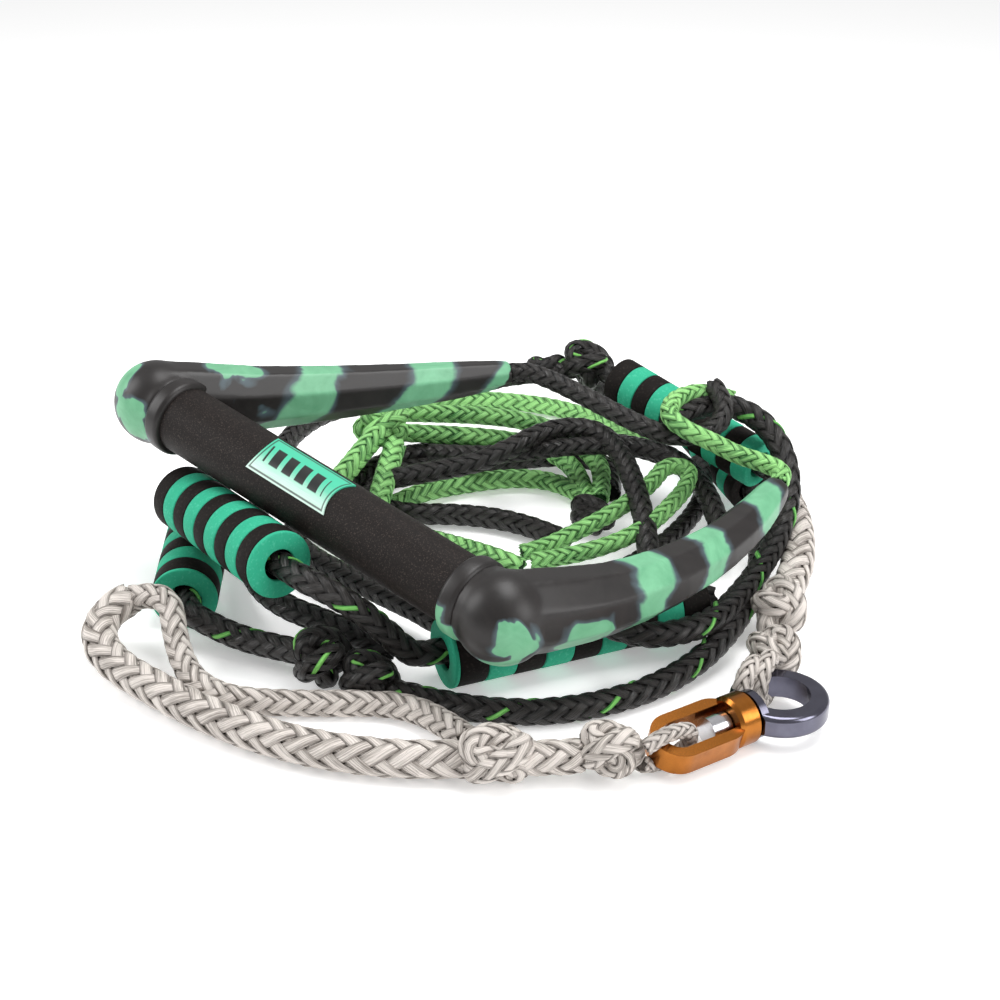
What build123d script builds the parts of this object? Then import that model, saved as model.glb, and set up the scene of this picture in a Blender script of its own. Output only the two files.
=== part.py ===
from build123d import *
import math
import os

os.makedirs("parts", exist_ok=True)

# Tow rope handle with its line, coiled and laid on a flat surface.
# Millimetres. +X runs along the grip seen from above, +Z is up, the origin is on the grip's axis.
# The surface that the line lies on is 69 mm below the origin.

# --- driving dimensions -------------------------------------------------------------------------
REAR_REACH = 109.0         # from the origin back along the grip to the rear rope corner
FRONT_REACH = 117.0        # and forwards to the front rope corner
GRIP_DIAMETER = 32.0
GRIP_SLOPE = 8.2           # degrees, the grip leans down towards its front end
TUBE_DIAMETER = 19.0
TUBE_WALL = 1.6
COLLAR_DIAMETER = 37.0
COLLAR_LENGTH = 7.0
KNUCKLE_RADIUS = 20.5
ARM_WIDTHS = ((0.05, 32.0, 30.0), (0.27, 29.0, 28.0), (0.53, 24.0, 23.0), (0.78, 19.5, 18.0), (0.97, 14.5, 13.5))
ARM_GAP = 0.5              # between a knuckle and the arm that bends away from it
COLLAR_ROOM = 4.0          # between a collar and an arm at rest
CORE_START = 0.18          # where the rope inside an arm begins, as a share of the arm
CORE_DIAMETER = 10.0
LINE_DIAMETER = 12.0       # the black line
INNER_DIAMETER = 11.5      # the softer black line inside the ring
GREEN_DIAMETER = 10.5
LINK_DIAMETER = 9.5
TAIL_DIAMETER = 12.0
BRIDLE_DIAMETER = 10.0
BIGHT_DIAMETER = 9.0
SLIM_DIAMETER = 11.0       # the line through the two slim floats
GREY_DIAMETER = 12.0
SPLICE_DIAMETER = 16.5     # grey line with its own tail spliced inside
NECK_DIAMETER = 15.0
EYE_ROPE_DIAMETER = 7.0
LOOP_ROPE_DIAMETER = 8.8
FLOAT_BORE_PLAY = 3.0      # a float's bore is this much wider than the line through it
LABEL_START = 81.0         # from the rear corner along the grip
LABEL_END = 132.0
LABEL_WIDTH = 22.0
LABEL_PROUD = 0.8
LABEL_TURN = -67.0         # degrees from facing level towards -Y up to facing the sky


def write(shape, name):
    """One STEP file for one named piece."""
    export_step(shape, "parts/" + name + ".step")


def unit(a, b):
    """Direction from one place to another."""
    return (Vector(*b) - Vector(*a)).normalized()


def along(a, b, distance):
    """The place at a distance from a on the way to b."""
    return Vector(*a) + unit(a, b) * distance


def rod(a, b, radius):
    """A solid round bar between two places."""
    start = Vector(*a)
    length = (Vector(*b) - start).length
    plane = Plane(origin=start, z_dir=unit(a, b))
    return plane * Cylinder(radius, length, align=(Align.CENTER, Align.CENTER, Align.MIN))


def pipe(a, b, outer, inner):
    """A round tube between two places."""
    return rod(a, b, outer) - rod(a, b, inner)


# --- cords --------------------------------------------------------------------------------------

def corner_radii(points):
    """The largest arc that the two runs beside each corner leave room for."""
    radii = []
    for before, here, after in zip(points, points[1:], points[2:]):
        run_in = Vector(*here) - Vector(*before)
        run_out = Vector(*after) - Vector(*here)
        half_turn = math.radians(run_in.get_angle(run_out)) / 2
        radii.append(0.45 * min(run_in.length, run_out.length) / math.tan(half_turn))
    return radii


def cord(points, diameter, name):
    """A cord's tube: straight runs joined by tangent arcs."""
    if len(points) == 2:
        path = Line(points[0], points[1])
        tightest = 0.0
    else:
        radii = corner_radii(points)
        tightest = min(radii)
        path = FilletPolyline(*points, radius=radii)
    section = Plane(origin=path @ 0, z_dir=path % 0) * Circle(diameter / 2)
    tube = sweep(section, path=path)
    expected = math.pi * diameter ** 2 / 4 * path.length
    print(name, "length", round(path.length), "tightest arc", round(tightest, 1),
          "volume ratio", round(tube.volume / expected, 3), "lowest", round(tube.bounding_box().min.Z, 1))
    return tube


# --- the handle ---------------------------------------------------------------------------------
LEVEL = math.cos(math.radians(GRIP_SLOPE))
DROP = math.sin(math.radians(GRIP_SLOPE))
REAR_CORNER = (-REAR_REACH * LEVEL, 0, REAR_REACH * DROP)
FRONT_CORNER = (FRONT_REACH * LEVEL, 0, -FRONT_REACH * DROP)
REAR_TIP = (-11, 144, 14)
FRONT_TIP = (134, 169, -11)
REAR_BOW = (-1, 0, -3)     # how far the middle of an arm lies from the straight line
FRONT_BOW = (15, 0, -7)


def octagon_section(centre, direction, width, height):
    """A bevelled section of the rubber arm, upright on the arm's own line."""
    plane = Plane(origin=centre, x_dir=direction.cross(Vector(0, 0, 1)), z_dir=direction)
    bevel = 0.29 * min(width, height)
    outline = Rectangle(width, height)
    return plane * chamfer(outline.vertices(), bevel)


def arm_path(corner, tip, bow):
    """The line that the middle of an arm follows."""
    middle = (Vector(*corner) + Vector(*tip)) / 2 + Vector(*bow)
    return ThreePointArc(corner, middle, tip)


def arm(corner, other, path):
    """A tapered bevelled rubber sleeve over the rope, hollowed where it meets knuckle and collar."""
    sections = []
    for share, width, height in ARM_WIDTHS:
        sections.append(octagon_section(path @ share, path % share, width, height))
    sleeve = loft(sections, ruled=True)
    sleeve -= Pos(*corner) * Sphere(KNUCKLE_RADIUS + ARM_GAP)
    sleeve -= rod(corner, along(corner, other, 60), COLLAR_DIAMETER / 2 + COLLAR_ROOM)
    bore = Plane(origin=path @ 0, z_dir=path % 0) * Circle(CORE_DIAMETER / 2 + 0.05)
    return sleeve - sweep(bore, path=path)


def arm_core(path):
    """The rope inside an arm."""
    inside = ThreePointArc(path @ CORE_START, path @ (0.5 + CORE_START / 2), path @ 1)
    return sweep(Plane(origin=inside @ 0, z_dir=inside % 0) * Circle(CORE_DIAMETER / 2), path=inside)


def knuckle(corner, other):
    """The rubber ball over a corner, cut flat where the collar meets it."""
    ball = Pos(*corner) * Sphere(KNUCKLE_RADIUS)
    cut = rod(along(corner, other, 15), along(corner, other, 40), 40)
    return ball - cut


def handle():
    """Grip, tube, end plugs, collars, knuckles and arms."""
    tube_start = along(REAR_CORNER, FRONT_CORNER, 15)
    tube_end = along(FRONT_CORNER, REAR_CORNER, 15)
    bore = TUBE_DIAMETER / 2 - TUBE_WALL
    write(pipe(tube_start, tube_end, TUBE_DIAMETER / 2, bore), "grip_tube")
    foam_start = along(REAR_CORNER, FRONT_CORNER, 15 + COLLAR_LENGTH)
    foam_end = along(FRONT_CORNER, REAR_CORNER, 15 + COLLAR_LENGTH)
    write(pipe(foam_start, foam_end, GRIP_DIAMETER / 2, TUBE_DIAMETER / 2), "grip_foam")
    write(grip_label(), "grip_label")
    for end, corner, other in (("rear", REAR_CORNER, FRONT_CORNER), ("front", FRONT_CORNER, REAR_CORNER)):
        collar_start = along(corner, other, 15)
        collar_end = along(corner, other, 15 + COLLAR_LENGTH)
        write(rod(collar_start, along(corner, other, 40), bore), end + "_plug")
        write(pipe(collar_start, collar_end, COLLAR_DIAMETER / 2, TUBE_DIAMETER / 2), end + "_collar")
        write(knuckle(corner, other), end + "_knuckle")
    write(arm(REAR_CORNER, FRONT_CORNER, REAR_PATH), "rear_arm")
    write(arm(FRONT_CORNER, REAR_CORNER, FRONT_PATH), "front_arm")
    write(arm_core(REAR_PATH), "rear_arm_core")
    write(arm_core(FRONT_PATH), "front_arm_core")


def grip_label():
    """A thin moulded patch bent over the upper side of the foam."""
    skin = pipe(along(REAR_CORNER, FRONT_CORNER, LABEL_START), along(REAR_CORNER, FRONT_CORNER, LABEL_END),
                GRIP_DIAMETER / 2 + LABEL_PROUD, GRIP_DIAMETER / 2)
    centre = along(REAR_CORNER, FRONT_CORNER, (LABEL_START + LABEL_END) / 2)
    level = Plane(origin=centre, x_dir=unit(REAR_CORNER, FRONT_CORNER), z_dir=(0, -1, 0))
    turned = level * Rot(LABEL_TURN, 0, 0)
    window = turned * Pos(0, 0, GRIP_DIAMETER / 2) * Box(REAR_REACH, LABEL_WIDTH, GRIP_DIAMETER)
    return skin & window


REAR_PATH = arm_path(REAR_CORNER, REAR_TIP, REAR_BOW)
FRONT_PATH = arm_path(FRONT_CORNER, FRONT_TIP, FRONT_BOW)


def past_tip(path, distance):
    """A place straight out of an arm's tip."""
    return path @ 1 + (path % 1) * distance


# --- floats: laminated foam discs threaded on the line -------------------------------------------
FLOATS = {
    "float_a": ((-79, -11, -21.5), (13, -31, -17.2), 31.0, LINE_DIAMETER, 9),
    "float_b": ((-118, 32, -53.3), (-47, -39, -53.3), 31.0, LINE_DIAMETER, 9),
    "float_c": ((76, 5, -52.5), (127, 119, -52.5), 31.0, LINE_DIAMETER, 9),
    "float_d": ((0, 218, -9), (95, 213, -27), 25.0, SLIM_DIAMETER, 10),
    "float_e": ((11, 267, -45), (78, 232, -53), 25.0, SLIM_DIAMETER, 9),
}


def foam_float(start, end, diameter, line, discs):
    """Foam discs glued face to face, with a bore for the line and a small step between discs."""
    length = (Vector(*end) - Vector(*start)).length
    pitch = length / discs
    stack = []
    for index in range(discs):
        near = along(start, end, index * pitch)
        far = along(start, end, (index + 1) * pitch)
        stack.append(pipe(near, far, diameter / 2, (line + FLOAT_BORE_PLAY) / 2))
    return Compound(children=stack)


# --- routes of the line, in order along each piece of it -----------------------------------------
FLOAT_A_START, FLOAT_A_END = FLOATS["float_a"][:2]
FLOAT_B_START, FLOAT_B_END = FLOATS["float_b"][:2]
FLOAT_C_START, FLOAT_C_END = FLOATS["float_c"][:2]
FLOAT_D_START, FLOAT_D_END = FLOATS["float_d"][:2]
FLOAT_E_START, FLOAT_E_END = FLOATS["float_e"][:2]

ROUTES = {
    "front_line": (LINE_DIAMETER, [
        (70, -21, -62), (86, -14, -63), (106, -6, -63), (127, 10, -63), (142, 32, -63),
        (151, 59, -63), (154, 86, -61), (152, 113, -56), (143, 141, -52), (128, 171, -50),
        (110, 192, -51)]),
    "arm_line": (LINE_DIAMETER, [
        (122, 58, -41.5), (132, 64, -45), (141, 71, -46), (147, 84, -47), (149, 104, -49), (144, 132, -48),
        (138, 158, -44), (132, 179, -37), (125, 195, -27), (115, 205, -15), (102, 210, -5), (87, 210, 1),
        (73, 204, 3), (68, 190, 3), (65, 180, 0)]),
    "float_line_c": (LINE_DIAMETER, [
        along(FLOAT_A_START, FLOAT_A_END, -10), along(FLOAT_A_END, FLOAT_A_START, -12),
        (40, -29, -20), (52, -22, -28), (61, -15, -38), (67, -10, -47),
        along(FLOAT_C_START, FLOAT_C_END, -8), along(FLOAT_C_END, FLOAT_C_START, -8)]),
    "float_line_b": (LINE_DIAMETER, [
        along(FLOAT_B_START, FLOAT_B_END, -8), along(FLOAT_B_END, FLOAT_B_START, -8),
        (-28, -44, -55), (-10, -40, -58), (8, -35, -58), (26, -31, -56)]),
    "under_line": (LINE_DIAMETER, [
        (-103, 212, -35), (-115, 194, -39), (-128, 175, -43), (-142, 157, -45), (-149, 138, -47),
        (-142, 110, -49), (-124, 83, -51), (-103, 57, -53), (-80, 30, -54), (-56, 6, -54),
        (-29, -9, -53), (-4, -14, -52), (16, -11, -52), (37, -9, -53), (54, -5, -55)]),
    "inner_upper": (INNER_DIAMETER, [
        (60, 25, -55), (43, 28, -55), (15, 28, -55), (-14, 28, -54), (-39, 30, -54), (-61, 38, -55),
        (-76, 60, -56), (-83, 92, -57), (-92, 123, -57), (-92, 148, -57), (-78, 167, -57),
        (-60, 190, -57), (-39, 208, -55), (-17, 222, -51), (12, 221, -45), (41, 215, -41),
        (66, 202, -41), (87, 186, -43), (101, 174, -47)]),
    "inner_lower": (INNER_DIAMETER, [
        (33, 137, -62), (15, 138, -62), (-8, 133, -62), (-29, 121, -62), (-44, 104, -61),
        (-62, 98, -61), (-79, 108, -61), (-87, 126, -61), (-83, 145, -61), (-68, 163, -62),
        (-53, 186, -62), (-38, 206, -61), (-20, 220, -61), (1, 214, -61), (16, 193, -61)]),
    "arch": (INNER_DIAMETER, [
        (-60, 107, -47), (-47, 126, -45), (-33, 143, -42), (-25, 160, -37), (-21, 177, -33),
        (-12, 192, -31), (3, 198, -31), (23, 190, -33), (43, 175, -35), (61, 160, -39), (74, 149, -45),
        (86, 136, -52), (97, 129, -58)]),
    "cross_line": (BRIDLE_DIAMETER, [
        (-71, 147, -49), (-52, 155, -47), (-32, 165, -44), (-15, 177, -40), (2, 187, -36), (18, 195, -34),
        (31, 201, -33), (45, 205, -34), (61, 203, -38), (76, 196, -43), (91, 186, -49), (103, 175, -55)]),
    "low_line": (BRIDLE_DIAMETER, [
        (73, 108, -61), (76, 131, -60), (77, 155, -58), (75, 178, -55), (70, 198, -52), (60, 216, -49),
        (45, 230, -47)]),
    "green_back": (GREEN_DIAMETER, [
        (-139, 215, -61), (-127, 237, -62), (-106, 254, -63), (-82, 264, -63), (-55, 266, -63),
        (-27, 260, -63), (-1, 257, -63)]),
    "green_upper": (GREEN_DIAMETER, [
        (-106, 162, -41), (-94, 178, -43), (-78, 198, -46), (-62, 213, -49), (-41, 219, -52),
        (-18, 216, -55), (5, 202, -57), (20, 179, -59)]),
    "green_lower": (GREEN_DIAMETER, [
        (-94, 149, -45), (-78, 166, -47), (-62, 185, -50), (-49, 201, -55), (-30, 207, -59),
        (-7, 197, -61), (14, 177, -62)]),
    "green_tail": (TAIL_DIAMETER, [
        (-95, 142, -35), (-87, 119, -38), (-78, 95, -42), (-70, 73, -46), (-58, 54, -50),
        (-41, 46, -53), (-33, 60, -54), (-44, 81, -51), (-62, 105, -46), (-80, 130, -42)]),
    "green_arc": (GREEN_DIAMETER, [
        (19, 181, -63), (-4, 187, -63), (-24, 185, -63), (-39, 173, -63), (-51, 152, -63),
        (-59, 129, -62), (-60, 107, -62), (-49, 91, -61), (-31, 86, -60), (-8, 88, -58),
        (17, 87, -54), (39, 85, -51)]),
    "green_bight": (BIGHT_DIAMETER, [
        (36, 115, -57), (42, 128, -53), (50, 144, -47), (55, 162, -41), (55, 178, -37), (52, 192, -33),
        (64, 197, -33), (72, 184, -36), (75, 168, -39), (75, 151, -44), (69, 134, -49), (59, 120, -53),
        (47, 111, -57)]),
    "green_link": (LINK_DIAMETER, [
        past_tip(FRONT_PATH, 2.4), past_tip(FRONT_PATH, 12.5), (118, 179, -6.5), (107, 175, -5), (94, 172, -1),
        (82, 167, 3), (71, 168, 6), (64, 177, 8), (63, 190, 9), (68, 203, 8), (77, 211, 4)]),
    "bridle_rear": (BRIDLE_DIAMETER, [
        past_tip(REAR_PATH, 0.6), past_tip(REAR_PATH, 8), (6, 155, 12), (20, 157, 9), (38, 159, 5),
        (55, 163, 0), (70, 168, -4), (83, 176, -3), (88, 188, 2), (82, 198, 8), (71, 203, 12)]),
    "float_line_d": (SLIM_DIAMETER, [
        (-86, 162, -21), (-67, 181, -17), (-49, 196, -13), (-34, 207, -10), (-18, 217, -6),
        along(FLOAT_D_START, FLOAT_D_END, -4), along(FLOAT_D_END, FLOAT_D_START, -6)]),
    "float_line_e": (SLIM_DIAMETER, [
        along(FLOAT_E_END, FLOAT_E_START, -6), along(FLOAT_E_START, FLOAT_E_END, -6),
        (-10, 271, -41), (-22, 258, -37), (-28, 240, -29), (-28, 226, -18)]),
    "boat_loop": (SPLICE_DIAMETER, [
        (132, -38, -60), (118, -52, -60), (100, -65, -60), (79, -76, -60), (54, -84, -60),
        (24, -89, -60), (-4, -90, -60), (-31, -90, -60), (-50, -86, -57), (-61, -74, -52),
        (-57, -62, -47)]),
    "boat_leg": (GREY_DIAMETER, [
        (-57, -62, -47), (-46, -56, -43), (-34, -56, -44), (-25, -62, -51), (-14, -68, -58),
        (1, -73, -62), (20, -72, -63), (39, -60, -63), (58, -43, -63), (75, -27, -63),
        (97, -22, -62), (122, -28, -60)]),
    "grey_tail": (SPLICE_DIAMETER, [
        (158, 146, -49), (150, 167, -48), (138, 186, -46), (124, 203, -44), (110, 216, -43.5),
        (98, 228, -44)]),
    "boat_neck": (NECK_DIAMETER, [
        (149, -26, -58), (157, -17, -58.5), (166, -8, -58)]),
}

# --- knots --------------------------------------------------------------------------------------
KNOTS = {
    # centre, a place that the knot's long way points at, half length, radius
    "line_knots": [((37, -31, -54), (58, -24, -56), 10, 14.5), ((60, -25, -57), (90, -18, -58), 11, 11.5)],
    "apex_knots": [((-22, 217, -6), (0, 218, -9), 11.5, 12.5), ((-39, 205, -10), (-60, 186, -12), 9, 7.5)],
    "green_knot": [((-95, 136, -37), (-85, 160, -42), 13, 11)],
    "inner_knot": [((28, 163, -59), (45, 160, -59), 11, 9)],
    "boat_knot": [((142, -33, -56), (157, -17, -56), 13.5, 12.5)],
    "link_knots": [((181, 103, -54), (170, 125, -53), 12, 13), ((161, 137, -52), (150, 155, -52), 13, 14)],
}


def knot(centre, toward, half_length, radius):
    """The closed outer shape of a pulled knot."""
    plane = Plane(origin=centre, z_dir=unit(centre, toward))
    return plane * scale(Sphere(1), by=(radius, radius, half_length))


# --- swivel: a bronze bow turning on the shank of a grey eye --------------------------------------
AXLE_FOOT = Vector(184.5, 4.7, -57.3)        # where the turning side begins, on the swivel's axis
AXLE_HEAD = Vector(202.5, 77.7, -57.3)
BOW_TILT = 16.0                          # degrees, turn of the bow about the axis
BOW_START = 8.0                          # distances along the axis from AXLE_FOOT
HOUSING_START = 46.0
HOUSING_END = 57.0
NUT_AT = 38.5
EYE_CENTRE_AT = 75.0
BOW_HALF_WIDTH = 12.0
BOW_STRAP = 5.0
BOW_BAND = 10.5
AXLE_RADIUS = 4.0
NUT_RADIUS = 6.0
EYE_OUTER = 21.0
EYE_INNER = 13.0
EYE_THICKNESS = 10.0
BALL_RADIUS = 1.9
BALL_CIRCLE = 6.6
BALL_COUNT = 8

AXIS = (AXLE_HEAD - AXLE_FOOT).normalized()
SIDE = AXIS.cross(Vector(0, 0, 1))


def axis_plane(distance, tilt=0.0):
    """A plane across the swivel's axis: its x runs level across the axis, its y runs down."""
    level = Plane(origin=AXLE_FOOT + AXIS * distance, x_dir=SIDE, z_dir=AXIS)
    return Plane(level * Rot(0, 0, tilt))


def disc(start, end, radius):
    """A round piece centred on the swivel's axis."""
    return axis_plane(start) * Cylinder(radius, end - start, align=(Align.CENTER, Align.CENTER, Align.MIN))


def bow():
    """U-shaped bronze strap with a round housing for the shank."""
    lying = Plane(origin=AXLE_FOOT, x_dir=AXIS, z_dir=axis_plane(0, BOW_TILT).y_dir)
    strap = lying * band(BOW_START, HOUSING_START + 6, BOW_HALF_WIDTH, BOW_BAND)
    window = lying * band(BOW_START + BOW_STRAP, HOUSING_START + 8, BOW_HALF_WIDTH - BOW_STRAP, 20)
    housing = disc(HOUSING_START, HOUSING_END, 11.4)
    housing = chamfer(housing.edges().filter_by(GeomType.CIRCLE), 1.5)
    body = strap - window + housing
    body -= disc(HOUSING_START - 8, HOUSING_END + 1, AXLE_RADIUS + 0.3)
    body -= disc(HOUSING_START + 4, HOUSING_START + 9, BALL_CIRCLE + BALL_RADIUS + 0.4)
    return body


def band(start, end, half_width, height):
    """A flat block with half-round ends, from start to end along x."""
    outline = RectangleRounded(end - start, 2 * half_width, half_width - 0.1)
    return Pos((start + end) / 2, 0, 0) * extrude(outline, height / 2, both=True)


def swivel_eye():
    """Thick flat ring with a collar that faces the bow."""
    centre = AXLE_FOOT + AXIS * EYE_CENTRE_AT
    flat = Plane(origin=centre, x_dir=AXIS, z_dir=(0, 0, 1))
    ring = flat * Cylinder(EYE_OUTER, EYE_THICKNESS)
    ring = fillet(ring.edges(), 2.5)
    ring -= flat * Cylinder(EYE_INNER, EYE_THICKNESS * 2)
    collar = disc(HOUSING_END + 0.4, EYE_CENTRE_AT - EYE_INNER - 1, 10.5)
    body = ring + collar
    body -= disc(HOUSING_START, HOUSING_END + 0.4, 30)
    return body - disc(HOUSING_END, HOUSING_END + 2.5, AXLE_RADIUS)


def bow_rope():
    """The small rope eye through the bow, turning with it."""
    lying = Plane(origin=AXLE_FOOT, x_dir=AXIS, z_dir=axis_plane(0, BOW_TILT).x_dir)
    places = [(3.2, 5), (9, 8.2), (17, 8.2), (24, 6.5), (27, 2.8), (27, -2.8), (24, -6.5), (17, -8.2),
              (9, -8.2), (3.2, -5)]
    return [lying.from_local_coords((x, y, 0)) for x, y in places]


def link_rope(shift):
    """One strand of the grey line's loop round the far side of the swivel's eye."""
    bar = AXLE_FOOT + AXIS * (EYE_CENTRE_AT + 3 + shift) - SIDE * (EYE_OUTER + EYE_INNER) / 2
    away = (Vector(181, 103, -57.3) - AXLE_FOOT - AXIS * (EYE_CENTRE_AT + 3) + SIDE * 17).normalized()
    places = [(11, 4), (6, 9.4), (-5.5, 9.4), (-10.8, 4.2), (-10.8, -3.2), (-5.5, -7.1), (6, -7.1), (11, -4)]
    return [bar + away * across + Vector(0, 0, up) for across, up in places]


def swivel():
    """Bow, eye, shank, nut, washer, balls and the small coloured dot."""
    write(bow(), "swivel_bow")
    write(swivel_eye(), "swivel_eye")
    write(disc(NUT_AT + 2.9, HOUSING_END + 2.5, AXLE_RADIUS), "swivel_axle")
    write(disc(NUT_AT - 3, NUT_AT + 2.9, NUT_RADIUS), "swivel_nut")
    washer = disc(NUT_AT + 3, HOUSING_START - 0.6, 5.6) - disc(NUT_AT, HOUSING_START, AXLE_RADIUS)
    write(washer, "swivel_washer")
    balls = []
    for index in range(BALL_COUNT):
        turn = axis_plane(HOUSING_START + 6.5, 360 * index / BALL_COUNT)
        balls.append(turn * Pos(BALL_CIRCLE, 0, 0) * Sphere(BALL_RADIUS))
    write(Compound(children=balls), "swivel_balls")


def main():
    handle()
    for name, (start, end, diameter, line, discs) in FLOATS.items():
        write(foam_float(start, end, diameter, line, discs), name)
    for name, (diameter, points) in ROUTES.items():
        write(cord(points, diameter, name), name)
    for name, pieces in KNOTS.items():
        write(Compound(children=[knot(*piece) for piece in pieces]), name)
    room = disc(-40, 0, 30)
    write(room & Pos(174, 0, -55) * Sphere(12.5), "neck_knot")
    swivel()
    write(cord(bow_rope(), EYE_ROPE_DIAMETER, "bow_rope"), "bow_rope")
    write(cord(link_rope(-4.6), LOOP_ROPE_DIAMETER, "link_rope_near"), "link_rope_near")
    write(cord(link_rope(4.6), LOOP_ROPE_DIAMETER, "link_rope_far"), "link_rope_far")


main()
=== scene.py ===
import math

import bpy
import numpy as np
from mathutils import Matrix, Vector


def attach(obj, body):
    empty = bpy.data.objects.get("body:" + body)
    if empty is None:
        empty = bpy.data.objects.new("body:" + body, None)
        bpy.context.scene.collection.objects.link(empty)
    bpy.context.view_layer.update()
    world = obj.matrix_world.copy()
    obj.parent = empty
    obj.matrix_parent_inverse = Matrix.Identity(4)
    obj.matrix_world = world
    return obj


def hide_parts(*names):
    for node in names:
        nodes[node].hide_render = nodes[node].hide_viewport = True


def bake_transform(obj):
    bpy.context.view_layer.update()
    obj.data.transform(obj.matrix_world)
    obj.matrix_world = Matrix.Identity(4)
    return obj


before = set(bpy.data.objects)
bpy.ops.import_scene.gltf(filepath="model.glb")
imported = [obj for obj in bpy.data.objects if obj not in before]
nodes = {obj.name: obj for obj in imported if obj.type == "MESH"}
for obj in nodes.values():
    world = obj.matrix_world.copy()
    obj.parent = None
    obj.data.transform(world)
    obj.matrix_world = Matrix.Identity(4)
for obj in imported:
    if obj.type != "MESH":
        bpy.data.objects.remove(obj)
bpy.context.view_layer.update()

# Tow rope handle. Metres, in the CAD's frame: the origin is on the grip's axis, the floor is below.
FLOOR_Z = -0.069
REAR_CORNER = Vector((-0.1079, 0, 0.0155))
FRONT_CORNER = Vector((0.1158, 0, -0.0167))
REAR_TIP = Vector((-0.011, 0.144, 0.014))
FRONT_TIP = Vector((0.134, 0.169, -0.011))
REAR_BOW = Vector((-0.001, 0, -0.003))     # how far the middle of an arm lies off the straight line
FRONT_BOW = Vector((0.015, 0, -0.007))
ARM_LENGTH = 0.172
KNUCKLE_RADIUS = 0.0203
COLLAR_RADIUS = 0.0186
COLLAR_AT = 0.0175                             # middle of a collar, from its corner
GRIP_RADIUS = 0.016
LABEL_START = 0.081
LABEL_END = 0.132
LABEL_HALF_WIDTH = 0.011
LABEL_TURN = math.radians(112.5)     # the label's middle, from +Y up and over towards -Y

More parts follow.
